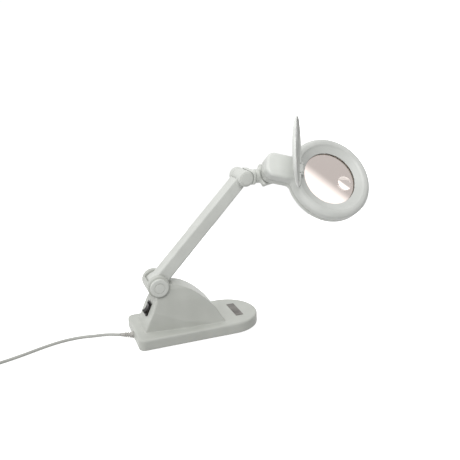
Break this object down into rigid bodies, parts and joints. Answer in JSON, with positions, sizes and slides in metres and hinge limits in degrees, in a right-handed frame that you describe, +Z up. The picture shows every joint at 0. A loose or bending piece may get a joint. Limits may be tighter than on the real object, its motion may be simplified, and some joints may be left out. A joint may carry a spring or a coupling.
{
  "type": "magnifying lamp",
  "caption": "Desk magnifying lamp: weighted base with rocker switch, hinged arm, swivelling ring head with a main and an inset lens, ring tube and hinged lens cover.",
  "frame": {"origin": "middle of the base outline, on the surface the lamp stands on", "axes": "+X towards the rounded front of the base, the side the arm leans to; +Z up; +Y to the left seen from behind"},
  "size_m": [0.7009, 0.2348, 0.3365],
  "materials": {
    "shell_plastic": "satin moulded, light grey",
    "grey_plastic": "moulded, grey",
    "rubber": "moulded rubber",
    "steel": "zinc plated",
    "cast_weight": "painted casting",
    "laminated_steel": "varnished laminations",
    "copper_winding": "taped winding",
    "nylon": "natural nylon",
    "black_plastic": "moulded, black",
    "plate_foil": "satin printed foil",
    "cord_pvc": "extruded sheath, light grey",
    "friction_disc": "fibre disc",
    "white_enamel": "stoved white",
    "lens_glass": "polished",
    "tube_glass": "phosphor coated glass tube"
  },
  "bodies": {
    "base": {"base_shell": "shell_plastic", "bottom_plate": "grey_plastic", "rubber_feet": "rubber", "bottom_screws": "steel", "base_weight": "cast_weight", "choke_core": "laminated_steel", "choke_coil": "copper_winding", "choke_screws": "steel", "terminal_block": "nylon", "switch_body": "black_plastic", "label_plate": "plate_foil", "strain_relief": "rubber", "cord_grip": "nylon", "power_cord": "cord_pvc", "cord_coil": "cord_pvc", "cord_tie": "black_plastic", "plug_body": "cord_pvc", "plug_pins": "steel", "shoulder_bolt": "steel", "shoulder_nut": "steel", "shoulder_washers": "friction_disc", "shoulder_caps": "shell_plastic"},
    "rocker": {"switch_rocker": "black_plastic"},
    "arm": {"arm_body": "shell_plastic", "arm_cover": "shell_plastic", "arm_screws": "steel", "arm_cable": "cord_pvc", "elbow_bolt": "steel", "elbow_nut": "steel", "elbow_washers": "friction_disc", "elbow_caps": "shell_plastic"},
    "neck": {"neck_block": "shell_plastic", "swivel_tube": "steel", "swivel_clip": "steel"},
    "yoke": {"yoke": "shell_plastic"},
    "head": {"pan_bolt": "steel", "pan_washer": "friction_disc", "head_top": "shell_plastic", "head_bottom": "shell_plastic", "head_screws": "steel", "main_lens": "lens_glass", "inset_lens": "lens_glass", "lens_ring": "nylon", "reflector": "white_enamel", "lamp_tube": "tube_glass", "tube_base": "nylon", "tube_clips": "steel", "tube_socket": "nylon", "starter": "nylon", "cover_pin": "steel"},
    "cover": {"lens_cover": "shell_plastic"}
  },
  "joints": [
    {"name": "rocker_tilt", "type": "hinge", "parent": "base", "child": "rocker", "pos_m": [-0.0774, 0, 0.0465], "axis": [0, 1, 0], "range_deg": [-16, 0]},
    {"name": "shoulder_hinge", "type": "hinge", "parent": "base", "child": "arm", "pos_m": [-0.0623, 0, 0.087], "axis": [0, -1, 0], "range_deg": [-15, 50]},
    {"name": "elbow_hinge", "type": "hinge", "parent": "arm", "child": "neck", "pos_m": [0.08363, 0, 0.24078], "axis": [0, -1, 0], "range_deg": [-28, 100]},
    {"name": "neck_swivel", "type": "hinge", "parent": "neck", "child": "yoke", "pos_m": [0.08363, 0, 0.24078], "axis": [0.9984, 0, -0.0567], "range_deg": [-144.5, 35.5]},
    {"name": "head_turn", "type": "hinge", "parent": "yoke", "child": "head", "pos_m": [0.13904, 0, 0.23763], "axis": [0.0329, -0.8141, 0.5798], "range_deg": [-15.5, 44.5]},
    {"name": "cover_hinge", "type": "hinge", "parent": "head", "child": "cover", "pos_m": [0.17084, -0.03518, 0.25111], "axis": [-0.2947, -0.5622, -0.7727], "range_deg": [-118.5, 0]}
  ]
}
